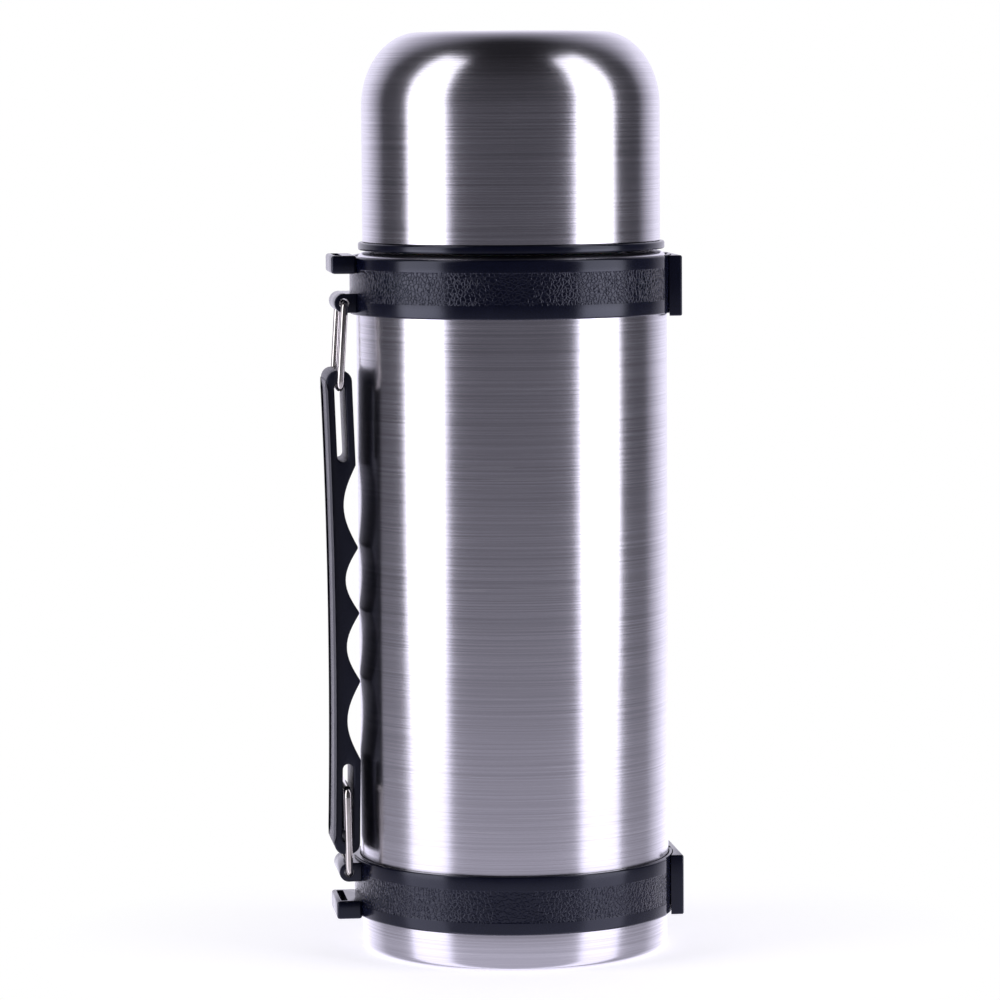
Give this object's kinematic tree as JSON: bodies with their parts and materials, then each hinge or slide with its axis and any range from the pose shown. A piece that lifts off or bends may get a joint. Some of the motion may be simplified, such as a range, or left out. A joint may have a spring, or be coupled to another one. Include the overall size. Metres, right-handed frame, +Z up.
{
  "type": "vacuum flask",
  "caption": "Steel vacuum flask with a screw-on cup, push-button stopper, two clamped black bands and a fold-out finger-grip handle on wire links.",
  "frame": {"origin": "centre of the underside, at the recessed flat of the base cover, level with the foot ring to within a millimetre", "axes": "+Z up along the flask's axis, -X towards the handle, +Y completes a right-handed frame"},
  "size_m": [0.1142, 0.1044, 0.2963],
  "materials": {
    "brushed_steel": "brushed round the axis",
    "inner_steel": "plain drawn steel",
    "link_wire": "bright plated wire",
    "band_plastic": "gloss borders with a grained middle",
    "grip_plastic": "satin, finely grained",
    "collar_plastic": "satin",
    "stopper_plastic": "satin",
    "silicone": "translucent matt",
    "foam": "beaded foam",
    "copper_foil": "bright foil",
    "getter_metal": "sintered",
    "seal_braze": "dull"
  },
  "bodies": {
    "flask_body": {"outer_shell": "brushed_steel", "inner_liner": "inner_steel", "foil_shield": "copper_foil", "vacuum_bottom": "inner_steel", "tip_seal": "seal_braze", "getter": "getter_metal", "base_cover": "brushed_steel", "upper_band": "band_plastic", "lower_band": "band_plastic", "upper_keeper": "band_plastic", "lower_keeper": "band_plastic", "neck_collar": "collar_plastic", "collar_gasket": "silicone"},
    "cup_ring": {"cup_rim": "collar_plastic"},
    "cup": {"cup_shell": "brushed_steel", "cup_liner": "collar_plastic"},
    "stopper_ring": {"stopper_seal": "silicone"},
    "stopper": {"stopper_body": "stopper_plastic", "stopper_insert": "stopper_plastic", "foam_core": "foam", "insert_cover": "collar_plastic", "button_spring": "link_wire"},
    "button": {"push_button": "stopper_plastic", "valve_stem": "stopper_plastic", "valve_head": "stopper_plastic", "valve_seal": "silicone"},
    "top_link": {"upper_link": "link_wire"},
    "grip": {"handle": "grip_plastic"},
    "bottom_link": {"lower_link": "link_wire"}
  },
  "joints": [
    {"name": "cup_lift", "type": "slide", "parent": "flask_body", "child": "cup_ring", "axis": [0, 0, 1], "range_m": [0, 0.0601]},
    {"name": "cup_turn", "type": "hinge", "parent": "cup_ring", "child": "cup", "pos_m": [0, 0, 0.2465], "axis": [0, 0, 1], "range_deg": [0, 1800]},
    {"name": "stopper_lift", "type": "slide", "parent": "flask_body", "child": "stopper_ring", "axis": [0, 0, 1], "range_m": [0, 0.03601]},
    {"name": "stopper_turn", "type": "hinge", "parent": "stopper_ring", "child": "stopper", "pos_m": [0, 0, 0.2427], "axis": [0, 0, 1], "range_deg": [0, 2160]},
    {"name": "button_press", "type": "slide", "parent": "stopper", "child": "button", "axis": [0, 0, -1], "range_m": [0, 0.004], "stiffness_N_per_m": 400, "springref_m": -0.002, "deforming": ["button_spring"]},
    {"name": "handle_swing", "type": "hinge", "parent": "flask_body", "child": "top_link", "pos_m": [-0.055, 0, 0.21], "axis": [0, 1, 0], "range_deg": [0, 42]},
    {"name": "handle_level", "type": "hinge", "parent": "top_link", "child": "grip", "pos_m": [-0.0567, 0, 0.18305], "axis": [0, 1, 0], "range_deg": [-42.01, 0]},
    {"name": "lower_link_swing", "type": "hinge", "parent": "flask_body", "child": "bottom_link", "pos_m": [-0.055, 0, 0.0268], "axis": [0, 1, 0], "range_deg": [-42.01, 0]}
  ],
  "couplings": [
    {"joint": "cup_lift", "follows": "cup_turn", "m_per_rad": 0.0019099},
    {"joint": "stopper_lift", "follows": "stopper_turn", "m_per_rad": 0.00095493},
    {"joint": "handle_level", "follows": "handle_swing", "ratio": -1},
    {"joint": "lower_link_swing", "follows": "handle_swing", "ratio": -1}
  ]
}
